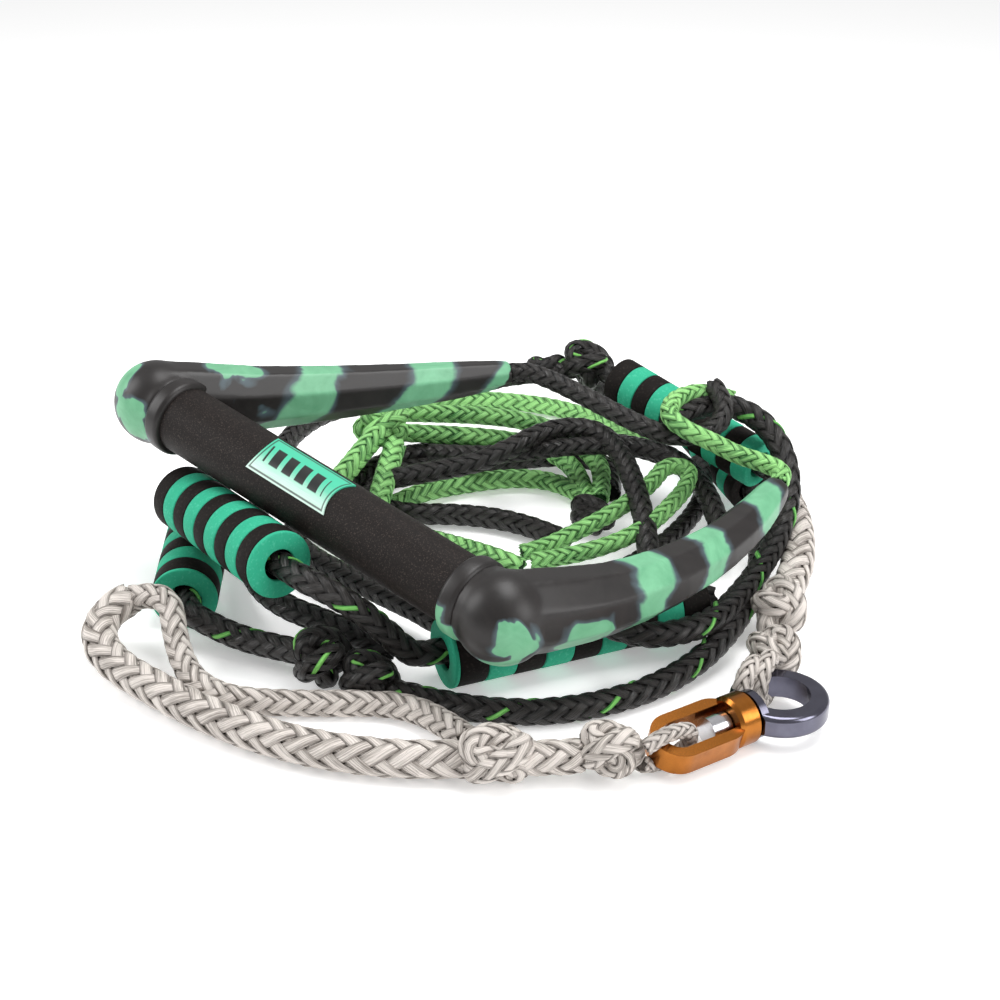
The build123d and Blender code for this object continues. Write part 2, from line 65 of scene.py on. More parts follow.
# route: diameter, material, the places that the line goes by
ROUTES = {
    "front_line": (0.012, "flecked", [
        (0.07, -0.021, -0.062), (0.086, -0.014, -0.063), (0.106, -0.006, -0.063), (0.127, 0.01, -0.063),
        (0.142, 0.032, -0.063), (0.151, 0.059, -0.063), (0.154, 0.086, -0.061), (0.152, 0.113, -0.056),
        (0.143, 0.141, -0.052), (0.128, 0.171, -0.05), (0.11, 0.192, -0.051)]),
    "arm_line": (0.012, "flecked", [
        (0.122, 0.058, -0.0415), (0.132, 0.064, -0.045), (0.141, 0.071, -0.046), (0.147, 0.084, -0.047),
        (0.149, 0.104, -0.049), (0.144, 0.132, -0.048), (0.138, 0.158, -0.044), (0.132, 0.179, -0.037),
        (0.125, 0.195, -0.027), (0.115, 0.205, -0.015), (0.102, 0.21, -0.005), (0.087, 0.21, 0.001),
        (0.073, 0.204, 0.003), (0.068, 0.19, 0.003), (0.065, 0.18, 0)]),
    "float_line_c": (0.012, "flecked", [
        (-0.0888, -0.0089, -0.022), (0.0247, -0.0335, -0.0167), (0.04, -0.029, -0.02),
        (0.052, -0.022, -0.028), (0.061, -0.015, -0.038), (0.067, -0.01, -0.047),
        (0.0727, -0.0023, -0.0525), (0.1303, 0.1263, -0.0525)]),
    "float_line_b": (0.012, "flecked", [
        (-0.1237, 0.0377, -0.0533), (-0.0413, -0.0447, -0.0533), (-0.028, -0.044, -0.055),
        (-0.01, -0.04, -0.058), (0.008, -0.035, -0.058), (0.026, -0.031, -0.056)]),
    "under_line": (0.012, "black", [
        (-0.103, 0.212, -0.035), (-0.115, 0.194, -0.039), (-0.128, 0.175, -0.043), (-0.142, 0.157, -0.045),
        (-0.149, 0.138, -0.047), (-0.142, 0.11, -0.049), (-0.124, 0.083, -0.051), (-0.103, 0.057, -0.053),
        (-0.08, 0.03, -0.054), (-0.056, 0.006, -0.054), (-0.029, -0.009, -0.053), (-0.004, -0.014, -0.052),
        (0.016, -0.011, -0.052), (0.037, -0.009, -0.053), (0.054, -0.005, -0.055)]),
    "inner_upper": (0.0115, "black", [
        (0.06, 0.025, -0.055), (0.043, 0.028, -0.055), (0.015, 0.028, -0.055), (-0.014, 0.028, -0.054),
        (-0.039, 0.03, -0.054), (-0.061, 0.038, -0.055), (-0.076, 0.06, -0.056), (-0.083, 0.092, -0.057),
        (-0.092, 0.123, -0.057), (-0.092, 0.148, -0.057), (-0.078, 0.167, -0.057), (-0.06, 0.19, -0.057),
        (-0.039, 0.208, -0.055), (-0.017, 0.222, -0.051), (0.012, 0.221, -0.045), (0.041, 0.215, -0.041),
        (0.066, 0.202, -0.041), (0.087, 0.186, -0.043), (0.101, 0.174, -0.047)]),
    "inner_lower": (0.0115, "black", [
        (0.033, 0.137, -0.062), (0.015, 0.138, -0.062), (-0.008, 0.133, -0.062), (-0.029, 0.121, -0.062),
        (-0.044, 0.104, -0.061), (-0.062, 0.098, -0.061), (-0.079, 0.108, -0.061), (-0.087, 0.126, -0.061),
        (-0.083, 0.145, -0.061), (-0.068, 0.163, -0.062), (-0.053, 0.186, -0.062), (-0.038, 0.206, -0.061),
        (-0.02, 0.22, -0.061), (0.001, 0.214, -0.061), (0.016, 0.193, -0.061)]),
    "arch": (0.0115, "black", [
        (-0.06, 0.107, -0.047), (-0.047, 0.126, -0.045), (-0.033, 0.143, -0.042), (-0.025, 0.16, -0.037),
        (-0.021, 0.177, -0.033), (-0.012, 0.192, -0.031), (0.003, 0.198, -0.031), (0.023, 0.19, -0.033),
        (0.043, 0.175, -0.035), (0.061, 0.16, -0.039), (0.074, 0.149, -0.045), (0.086, 0.136, -0.052),
        (0.097, 0.129, -0.058)]),
    "cross_line": (0.01, "black", [
        (-0.071, 0.147, -0.049), (-0.052, 0.155, -0.047), (-0.032, 0.165, -0.044), (-0.015, 0.177, -0.04),
        (0.002, 0.187, -0.036), (0.018, 0.195, -0.034), (0.031, 0.201, -0.033), (0.045, 0.205, -0.034),
        (0.061, 0.203, -0.038), (0.076, 0.196, -0.043), (0.091, 0.186, -0.049), (0.103, 0.175, -0.055)]),
    "low_line": (0.01, "black", [
        (0.073, 0.108, -0.061), (0.076, 0.131, -0.06), (0.077, 0.155, -0.058), (0.075, 0.178, -0.055),
        (0.07, 0.198, -0.052), (0.06, 0.216, -0.049), (0.045, 0.23, -0.047)]),
    "green_back": (0.0105, "green", [
        (-0.139, 0.215, -0.061), (-0.127, 0.237, -0.062), (-0.106, 0.254, -0.063), (-0.082, 0.264, -0.063),
        (-0.055, 0.266, -0.063), (-0.027, 0.26, -0.063), (-0.001, 0.257, -0.063)]),
    "green_upper": (0.0105, "green", [
        (-0.106, 0.162, -0.041), (-0.094, 0.178, -0.043), (-0.078, 0.198, -0.046), (-0.062, 0.213, -0.049),
        (-0.041, 0.219, -0.052), (-0.018, 0.216, -0.055), (0.005, 0.202, -0.057), (0.02, 0.179, -0.059)]),
    "green_lower": (0.0105, "green", [
        (-0.094, 0.149, -0.045), (-0.078, 0.166, -0.047), (-0.062, 0.185, -0.05), (-0.049, 0.201, -0.055),
        (-0.03, 0.207, -0.059), (-0.007, 0.197, -0.061), (0.014, 0.177, -0.062)]),
    "green_tail": (0.012, "green", [
        (-0.095, 0.142, -0.035), (-0.087, 0.119, -0.038), (-0.078, 0.095, -0.042), (-0.07, 0.073, -0.046),
        (-0.058, 0.054, -0.05), (-0.041, 0.046, -0.053), (-0.033, 0.06, -0.054), (-0.044, 0.081, -0.051),
        (-0.062, 0.105, -0.046), (-0.08, 0.13, -0.042)]),
    "green_arc": (0.0105, "green", [
        (0.019, 0.181, -0.063), (-0.004, 0.187, -0.063), (-0.024, 0.185, -0.063), (-0.039, 0.173, -0.063),
        (-0.051, 0.152, -0.063), (-0.059, 0.129, -0.062), (-0.06, 0.107, -0.062), (-0.049, 0.091, -0.061),
        (-0.031, 0.086, -0.06), (-0.008, 0.088, -0.058), (0.017, 0.087, -0.054), (0.039, 0.085, -0.051),
        (0.0475, 0.088, -0.053)]),
    "green_bight": (0.009, "green", [
        (0.031, 0.107, -0.058), (0.036, 0.115, -0.057), (0.042, 0.128, -0.053), (0.05, 0.144, -0.047),
        (0.055, 0.162, -0.041), (0.055, 0.178, -0.037), (0.052, 0.192, -0.033), (0.064, 0.197, -0.033),
        (0.072, 0.184, -0.036), (0.075, 0.168, -0.039), (0.075, 0.151, -0.044), (0.069, 0.134, -0.049),
        (0.059, 0.12, -0.053), (0.047, 0.111, -0.057), (0.04, 0.104, -0.058)]),
    "green_link": (0.0095, "green", [
        (0.1334, 0.1713, -0.0105), (0.131, 0.1809, -0.0086), (0.118, 0.179, -0.0065),
        (0.107, 0.175, -0.005), (0.094, 0.172, -0.001), (0.082, 0.167, 0.003), (0.071, 0.168, 0.006),
        (0.064, 0.177, 0.008), (0.063, 0.19, 0.009), (0.068, 0.203, 0.008), (0.077, 0.211, 0.004)]),
    "bridle_rear": (0.01, "black", [
        (-0.0107, 0.1445, 0.014), (-0.0064, 0.1505, 0.0145), (0.006, 0.155, 0.012), (0.02, 0.157, 0.009),
        (0.038, 0.159, 0.005), (0.055, 0.163, 0), (0.07, 0.168, -0.004), (0.083, 0.176, -0.003),
        (0.088, 0.188, 0.002), (0.082, 0.198, 0.008), (0.071, 0.203, 0.012)]),
    "float_line_d": (0.011, "black", [
        (-0.086, 0.162, -0.021), (-0.067, 0.181, -0.017), (-0.049, 0.196, -0.013), (-0.034, 0.207, -0.01),
        (-0.018, 0.217, -0.006), (-0.0039, 0.2182, -0.0083), (0.1009, 0.2127, -0.0281)]),
    "float_line_e": (0.011, "black", [
        (0.0833, 0.2292, -0.0536), (0.0057, 0.2698, -0.0444), (-0.01, 0.271, -0.041),
        (-0.022, 0.258, -0.037), (-0.028, 0.24, -0.029), (-0.028, 0.226, -0.018)]),
    "boat_loop": (0.0165, "grey", [
        (0.132, -0.038, -0.06), (0.118, -0.052, -0.06), (0.1, -0.065, -0.06), (0.079, -0.076, -0.06),
        (0.054, -0.084, -0.06), (0.024, -0.089, -0.06), (-0.004, -0.09, -0.06), (-0.031, -0.09, -0.06),
        (-0.05, -0.086, -0.057), (-0.061, -0.074, -0.052), (-0.057, -0.062, -0.047)]),
    "boat_leg": (0.012, "grey", [
        (-0.057, -0.062, -0.047), (-0.046, -0.056, -0.043), (-0.034, -0.056, -0.044),
        (-0.025, -0.062, -0.051), (-0.014, -0.068, -0.058), (0.001, -0.073, -0.062), (0.02, -0.072, -0.063),
        (0.039, -0.06, -0.063), (0.058, -0.043, -0.063), (0.075, -0.027, -0.063), (0.097, -0.022, -0.062),
        (0.122, -0.028, -0.06)]),
    "grey_tail": (0.0165, "grey", [
        (0.158, 0.146, -0.049), (0.15, 0.167, -0.048), (0.138, 0.186, -0.046), (0.124, 0.203, -0.044),
        (0.11, 0.216, -0.0435), (0.098, 0.228, -0.044)]),
    "boat_neck": (0.015, "grey", [
        (0.149, -0.026, -0.058), (0.157, -0.017, -0.0585), (0.166, -0.008, -0.058)]),
    "bow_rope": (0.007, "grey", [
        (0.1866, 0.0075, -0.0525), (0.1888, 0.0129, -0.0494), (0.1908, 0.0207, -0.0494),
        (0.192, 0.0276, -0.0511), (0.1917, 0.0307, -0.0546), (0.1902, 0.0311, -0.06),
        (0.1885, 0.0284, -0.0635), (0.1864, 0.0217, -0.0652), (0.1845, 0.014, -0.0652),
        (0.1839, 0.0081, -0.0621)]),
    "link_rope_near": (0.0088, "grey", [
        (0.1823, 0.0906, -0.0533), (0.1838, 0.0858, -0.0479), (0.1872, 0.0748, -0.0479),
        (0.1887, 0.0697, -0.0531), (0.1887, 0.0697, -0.0605), (0.1872, 0.0748, -0.0644),
        (0.1838, 0.0858, -0.0644), (0.1823, 0.0906, -0.0613)]),
    "link_rope_far": (0.0088, "grey", [
        (0.1845, 0.0995, -0.0533), (0.186, 0.0947, -0.0479), (0.1894, 0.0837, -0.0479),
        (0.1909, 0.0786, -0.0531), (0.1909, 0.0786, -0.0605), (0.1894, 0.0837, -0.0644),
        (0.186, 0.0947, -0.0644), (0.1845, 0.0995, -0.0613)]),
}

FLOATS = {
    # start, end, radius, bore, discs from start to end (k black, t blue-green, c a thin blue-green cap)
    "float_a": ((-0.079, -0.011, -0.0215), (0.013, -0.031, -0.0172), 0.0155, 0.0072, "ktktktktkc"),
    "float_b": ((-0.118, 0.032, -0.0533), (-0.047, -0.039, -0.0533), 0.0155, 0.0072, "ktktktktkc"),
    "float_c": ((0.076, 0.005, -0.0525), (0.127, 0.119, -0.0525), 0.0155, 0.0072, "cktktktktk"),
    "float_d": ((0, 0.218, -0.009), (0.095, 0.213, -0.027), 0.0125, 0.0067, "ktktktktkt"),
    "float_e": ((0.011, 0.267, -0.045), (0.078, 0.232, -0.053), 0.0125, 0.0067, "ktktktktk"),
}

KNOTS = {
    # CAD node, material, centre, where the knot's long way points to, then half its length, its radius,
    # its rope's diameter and its turn about the long way
    "front_knot": ("line_knots", "flecked", (0.037, -0.031, -0.054), (0.058, -0.024, -0.056),
        0.010, 0.0145, 0.0112, 0.3),
    "second_knot": ("line_knots", "flecked", (0.060, -0.025, -0.057), (0.090, -0.018, -0.058),
        0.011, 0.0118, 0.0098, 1.4),
    "apex_knot": ("apex_knots", "flecked", (-0.022, 0.217, -0.006), (0, 0.218, -0.009),
        0.0115, 0.0128, 0.0102, 0.9),
    "apex_small_knot": ("apex_knots", "flecked", (-0.039, 0.205, -0.010), (-0.060, 0.186, -0.012),
        0.009, 0.0088, 0.0082, 0.2),
    "green_knot": ("green_knot", "green", (-0.095, 0.136, -0.037), (-0.085, 0.160, -0.042),
        0.013, 0.0118, 0.0098, 2.0),
    "inner_knot": ("inner_knot", "black", (0.028, 0.163, -0.059), (0.045, 0.160, -0.059),
        0.011, 0.0098, 0.0088, 0.8),
    "boat_knot": ("boat_knot", "grey", (0.142, -0.033, -0.056), (0.157, -0.017, -0.056),
        0.0135, 0.0132, 0.0112, 0.4),
    "neck_knot": ("neck_knot", "grey", (0.174, 0, -0.055), (0.186, 0.006, -0.0545),
        0.0115, 0.0122, 0.0106, 1.9),
    "link_knot_near": ("link_knots", "grey", (0.181, 0.103, -0.054), (0.170, 0.125, -0.053),
        0.012, 0.0132, 0.0112, 1.1),
    "link_knot_far": ("link_knots", "grey", (0.161, 0.137, -0.052), (0.150, 0.155, -0.052),
        0.013, 0.014, 0.0116, 2.6),
}


# --- working on one piece at a time ----------------------------------------------------------------

def deselect():
    bpy.ops.object.select_all(action="DESELECT")


def pick(*objects):
    """Selects these alone, the first of them active."""
    deselect()
    for one in objects:
        one.select_set(True)
    bpy.context.view_layer.objects.active = objects[0]


def place(piece, matrix):
    """Puts a piece made round the origin in its place, with that place in its mesh."""
    piece.data.transform(matrix)
    piece.matrix_world = Matrix()
    piece.data.update()


def finish_modifiers(piece):
    pick(piece)
    for modifier in list(piece.modifiers):
        bpy.ops.object.modifier_apply(modifier=modifier.name)


def edit_all():
    """Opens the active piece for editing with all of it selected."""
    bpy.ops.object.mode_set(mode="EDIT")
    bpy.ops.mesh.select_all(action="SELECT")


def outward(piece):
    """Merges doubles and turns every face outwards."""
    pick(piece)
    edit_all()
    bpy.ops.mesh.remove_doubles(threshold=0.00001)
    bpy.ops.mesh.normals_make_consistent(inside=False)
    bpy.ops.object.mode_set(mode="OBJECT")


def join(name, pieces):
    pick(*pieces)
    bpy.ops.object.join()
    pieces[0].name = name
    pieces[0].data.name = name
    return pieces[0]


def across(direction, upward=Vector((0, 0, 1))):
    """Side and up for something that points along direction."""
    side = direction.cross(upward).normalized()
    return side, side.cross(direction).normalized()


def frame_at(origin, direction, upward=Vector((0, 0, 1))):
    """Matrix with z along direction, x to the side and y up."""
    side, up = across(direction, upward)
    turned = Matrix((side, up, direction.normalized())).transposed().to_4x4()
    return Matrix.Translation(origin) @ turned


# --- materials -------------------------------------------------------------------------------------

def group(name, inputs, outputs):
    """A node group: inputs with their usual numbers, or None for a vector, and outputs that are numbers."""
    tree = bpy.data.node_groups.new(name, "ShaderNodeTree")
    for label, usual in inputs.items():
        kind = "NodeSocketVector" if usual is None else "NodeSocketFloat"
        socket = tree.interface.new_socket(name=label, in_out="INPUT", socket_type=kind)
        if usual is not None:
            socket.default_value = usual
    for label in outputs:
        tree.interface.new_socket(name=label, in_out="OUTPUT", socket_type="NodeSocketFloat")
    return tree, tree.nodes.new("NodeGroupInput"), tree.nodes.new("NodeGroupOutput")


def wire(tree, made, **sockets):
    """Gives each input, named or n and its number, a value or the socket that feeds it."""
    for key, value in sockets.items():
        numbered = key[0] == "n" and key[1:].isdigit()
        socket = made.inputs[int(key[1:]) if numbered else key.replace("_", " ")]
        if isinstance(value, bpy.types.NodeSocket):
            tree.links.new(value, socket)
        else:
            socket.default_value = value


def node(tree, kind, settings=None, **sockets):
    made = tree.nodes.new(kind)
    for key, value in (settings or {}).items():
        setattr(made, key, value)
    wire(tree, made, **sockets)
    return made


def maths(tree, operation, a, b=0.0, clamp=False):
    return node(tree, "ShaderNodeMath", {"operation": operation, "use_clamp": clamp}, n0=a, n1=b).outputs[0]


def times(tree, a, b):
    return maths(tree, "MULTIPLY", a, b)


def plus(tree, a, b):
    return maths(tree, "ADD", a, b)


def here(tree):
    """Object coordinates."""
    return node(tree, "ShaderNodeTexCoord").outputs["Object"]


def noise(tree, settings=None, **sockets):
    return node(tree, "ShaderNodeTexNoise", settings, **sockets).outputs[0]


def vector_maths(tree, operation, a, b):
    return node(tree, "ShaderNodeVectorMath", {"operation": operation}, n0=a, n1=b)


def bump(tree, height, strength, distance):
    return node(tree, "ShaderNodeBump", Strength=strength, Distance=distance, Height=height).outputs[0]


def mix(tree, factor, a, b):
    made = node(tree, "ShaderNodeMix", {"data_type": "RGBA"}, n0=factor, n6=a, n7=b)
    return made.outputs[2]


def ramp(tree, factor, stops):
    """A ramp through (place, brightness) stops."""
    made = tree.nodes.new("ShaderNodeValToRGB")
    while len(made.color_ramp.elements) < len(stops):
        made.color_ramp.elements.new(0.5)
    for element, (at, value) in zip(made.color_ramp.elements, sorted(stops, key=lambda stop: stop[0])):
        element.position = at
        element.color = (value, value, value, 1)
    tree.links.new(factor, made.inputs[0])
    return made.outputs[0]


def rises(tree, factor, start, end):
    """From 0 at start to 1 at end."""
    return ramp(tree, factor, [(start, 0.0), (end, 1.0)])


def falls(tree, factor, start, end):
    return ramp(tree, factor, [(start, 1.0), (end, 0.0)])


def rgb(red, green, blue):
    """Screen colour, 0 to 255, as linear light."""
    shares = (red / 255, green / 255, blue / 255)
    return tuple(((c + 0.055) / 1.055) ** 2.4 if c > 10 / 255 else c / 12.92 for c in shares) + (1,)


def material(name):
    """A new material: its tree and its Principled shader."""
    made = bpy.data.materials.new(name)
    made.use_nodes = True
    return made, made.node_tree, made.node_tree.nodes["Principled BSDF"]


def make_fibre_group():
    """Fibres along a yarn: u runs across it, v along it. Gives a height, a light and dark mask, and painted
    shade that is strongest along a yarn's edges.
    """
    tree, entry, out = group("yarn_fibres", {"Fibres": 20.0, "Fray": 0.5}, ["Height", "Mask", "Edge"])
    uv = node(tree, "ShaderNodeUVMap", {"uv_map": "yarn"}).outputs[0]
    over, along = node(tree, "ShaderNodeSeparateXYZ", n0=uv).outputs[:2]
    stretched = node(tree, "ShaderNodeCombineXYZ", n0=times(tree, over, entry.outputs["Fibres"]),
                     n1=times(tree, along, 90.0))
    cloud = noise(tree, {"noise_dimensions": "2D"}, Vector=stretched.outputs[0], Scale=1.0, Detail=3.0,
                  Roughness=0.6)
    wander = times(tree, cloud, entry.outputs["Fray"])
    phase = plus(tree, times(tree, over, entry.outputs["Fibres"]), wander)
    lines = maths(tree, "ABSOLUTE", maths(tree, "SINE", times(tree, phase, math.pi)))
    height = times(tree, lines, plus(tree, cloud, 0.3))
    # painted shade: 1 along a yarn's two edges, 0 across its faces
    edge = maths(tree, "ABSOLUTE", maths(tree, "COSINE", times(tree, over, 2 * math.pi)))
    wire(tree, out, Height=height, Mask=cloud, Edge=edge)
    return tree


def make_cell_group():
    """Closed-cell foam: fine pits and speckles in object coordinates."""
    tree, entry, out = group("foam_cells", {"Cell size": 0.0006}, ["Height", "Speckle", "Blotch"])
    where = here(tree)
    scale = maths(tree, "DIVIDE", 1.0, entry.outputs["Cell size"])
    cells = node(tree, "ShaderNodeTexVoronoi", {"feature": "F1"}, Vector=where, Scale=scale)
    speckle = noise(tree, Vector=where, Scale=times(tree, scale, 0.7), Detail=2.0)
    blotch = noise(tree, Vector=where, Scale=140.0, Detail=3.0)
    wire(tree, out, Height=cells.outputs["Distance"], Speckle=rises(tree, speckle, 0.56, 0.68), Blotch=blotch)
    return tree


FIBRES = make_fibre_group()
CELLS = make_cell_group()


def yarn_material(name, dark, light, gloss=0.42, shine=0.3):
    """Braided filament yarn, each yarn a little different, with painted shade darkening it along its edges
    and in the grooves between its fibres.
    """
    made, tree, shader = material(name)
    grain = node(tree, "ShaderNodeGroup", {"node_tree": FIBRES}, Fibres=16.0, Fray=1.6)
    shade = node(tree, "ShaderNodeAttribute", {"attribute_name": "shade"}).outputs["Fac"]
    tone = plus(tree, times(tree, grain.outputs["Mask"], 1.05), times(tree, shade, 0.3))
    # painted shade: each yarn darker along its edges
    tone = maths(tree, "SUBTRACT", tone, times(tree, grain.outputs["Edge"], 0.34), clamp=True)
    # painted shade: the colour follows the fibre height, darker in the grooves between fibres
    groove_shaded_tone = times(tree, tone, plus(tree, times(tree, grain.outputs["Height"], 0.7), 0.6))
    # from the dark colour to the light: random tone, pulled towards the dark one by the painted shade
    colour = mix(tree, rises(tree, groove_shaded_tone, 0.12, 0.62), dark, light)
    rise = bump(tree, grain.outputs["Height"], 0.75, 0.0004)
    rough = plus(tree, times(tree, grain.outputs["Mask"], 0.25), gloss - 0.12)
    wire(tree, shader, Base_Color=colour, Roughness=rough, Normal=rise, Specular_IOR_Level=shine)
    return made


def shade_core_material(name, colour):
    """Painted shade for the inside of a hollow braid seen between its yarns: the rope's colour, darkened and
    speckled with black.
    """
    made, tree, shader = material(name)
    grain = noise(tree, Vector=here(tree), Scale=900.0)
    wire(tree, shader, Base_Color=mix(tree, grain, (0, 0, 0, 1), colour), Roughness=0.9,
         Specular_IOR_Level=0.1)
    return made


def foam_material(name, base, second, cell, speckle_colour, speckle_amount, rough=0.7, shine=0.12):
    made, tree, shader = material(name)
    cells = node(tree, "ShaderNodeGroup", {"node_tree": CELLS}, Cell_size=cell)
    colour = mix(tree, cells.outputs["Blotch"], base, second)
    spots = times(tree, cells.outputs["Speckle"], speckle_amount)
    colour = mix(tree, spots, colour, speckle_colour)
    rise = bump(tree, cells.outputs["Height"], 0.35, 0.0002)
    wire(tree, shader, Base_Color=colour, Roughness=rough, Normal=rise, Specular_IOR_Level=shine)
    return made


def metal_material(name, base, second, rough):
    """Turned and brushed metal: fine scratches and a slow change of tone."""
    made, tree, shader = material(name)
    where = here(tree)
    cloud = noise(tree, Vector=where, Scale=160.0, Detail=4.0)
    fine = noise(tree, Vector=node(tree, "ShaderNodeMapping", n0=where, n3=(1, 1, 14)).outputs[0],
                 Scale=900.0, Detail=2.0)
    rise = bump(tree, fine, 0.08, 0.0001)
    roughness = plus(tree, times(tree, cloud, 0.18), rough - 0.09)
    colour = mix(tree, cloud, base, second)
    wire(tree, shader, Base_Color=colour, Metallic=1.0, Roughness=roughness, Normal=rise)
    return made


YARNS = {
    "black": yarn_material("black_yarn", rgb(4, 4, 4), rgb(40, 37, 35), gloss=0.34, shine=0.45),
    "flecked": yarn_material("black_line_yarn", rgb(4, 4, 4), rgb(40, 37, 35), gloss=0.34, shine=0.45),
    "green": yarn_material("green_yarn", rgb(54, 112, 56), rgb(156, 220, 134), gloss=0.45),
    "grey": yarn_material("grey_yarn", rgb(136, 128, 121), rgb(220, 212, 205), gloss=0.45),
}
TRACER = yarn_material("tracer_yarn", rgb(60, 140, 66), rgb(140, 220, 110))
# painted shade colours, darker copies of the ropes' own colours
SHADE_CORES = {
    "black": shade_core_material("black_core_painted_shade", rgb(12, 11, 11)),
    "green": shade_core_material("green_core_painted_shade", rgb(34, 74, 36)),
    "grey": shade_core_material("grey_core_painted_shade", rgb(122, 114, 108)),
}
SHADE_CORES["flecked"] = SHADE_CORES["black"]
FLOAT_CELL = 0.0009          # size of the cells in the floats' foam
FOAM_BLACK = foam_material("float_black_foam", rgb(17, 14, 13), rgb(28, 24, 22), FLOAT_CELL,
                           rgb(60, 54, 50), 0.35)
FOAM_TEAL = foam_material("float_teal_foam", rgb(44, 158, 124), rgb(58, 176, 140), FLOAT_CELL,
                          rgb(98, 202, 168), 0.3)
GRIP_FOAM = foam_material("grip_black_foam", rgb(17, 13, 12), rgb(28, 22, 20), 0.00045, rgb(86, 76, 70), 0.4,
                          rough=0.6, shine=0.18)
BRONZE = metal_material("bronze_metal", rgb(186, 118, 52), rgb(134, 80, 34), 0.24)
GUN_METAL = metal_material("gun_metal", rgb(112, 112, 126), rgb(84, 82, 94), 0.2)
STEEL = metal_material("bright_steel_metal", rgb(214, 214, 216), rgb(184, 184, 190), 0.2)


# --- braided line ----------------------------------------------------------------------------------

def spline_line(points, step):
    """Evenly spaced places along the smooth line that goes by these points."""
    curve = bpy.data.curves.new("route", "CURVE")
    curve.dimensions = "3D"
    curve.resolution_u = 14
    spline = curve.splines.new("NURBS")
    spline.points.add(len(points) - 1)
    for knot, point in zip(spline.points, points):
        knot.co = (*point, 1)
    spline.order_u = 3
    spline.use_endpoint_u = True
    holder = bpy.data.objects.new("route", curve)
    mesh = bpy.data.meshes.new_from_object(holder)
    places = np.array([vertex.co[:] for vertex in mesh.vertices])
    bpy.data.meshes.remove(mesh)
    bpy.data.objects.remove(holder)
    bpy.data.curves.remove(curve)
    return even(places, step)


def travel(places):
    """How far along the line each of its places is."""
    return np.concatenate([[0], np.cumsum(np.linalg.norm(np.diff(places, axis=0), axis=1))])


def even(places, step):
    travelled = travel(places)
    count = max(8, int(round(travelled[-1] / step)) + 1)
    wanted = np.linspace(0, travelled[-1], count)
    return np.stack([np.interp(wanted, travelled, places[:, axis]) for axis in range(3)], axis=1)


def carried_frames(line, closed):
    """Two directions across the line at each place, carried along it without twist."""
    ahead = slope_of(line, closed)
    ahead /= np.linalg.norm(ahead, axis=1)[:, None]
    first = np.cross(ahead[0], (0.0, 0.0, 1.0))
    if np.linalg.norm(first) < 0.2:
        first = np.cross(ahead[0], (1.0, 0.0, 0.0))
    sides = [first / np.linalg.norm(first)]
    for direction in ahead[1:]:
        side = sides[-1] - direction * (sides[-1] @ direction)
        sides.append(side / np.linalg.norm(side))
    sides = np.array(sides)
    ups = np.cross(sides, ahead)
    if closed:
        last = sides[-1] - ahead[0] * (sides[-1] @ ahead[0])
        drift = math.atan2(last @ ups[0], last @ sides[0])
        turn = -drift * np.arange(len(line)) / len(line)
        sides, ups = (sides * np.cos(turn)[:, None] + ups * np.sin(turn)[:, None],
                      ups * np.cos(turn)[:, None] - sides * np.sin(turn)[:, None])
    return sides, ups


YARNS_EACH_WAY = 6
YARN_SIDES = 6
CORE_SIDES = 8
STEP = 0.105                       # from one section to the next, in diameters
KNOT_STEP = 0.11


def tube_quads(base, around, count, rows):
    """Faces of a tube whose sides are lists of count places, one list after another from base."""
    after = (rows + 1) % count
    quads = []
    for side in range(around):
        here_on, there_on = base + side * count, base + (side + 1) % around * count
        quads.append(np.stack([here_on + rows, here_on + after, there_on + after, there_on + rows], axis=1))
    return quads


def slope_of(places, closed):
    """The way ahead at each of these places."""
    return np.roll(places, -1, axis=0) - np.roll(places, 1, axis=0) if closed else np.gradient(places, axis=0)


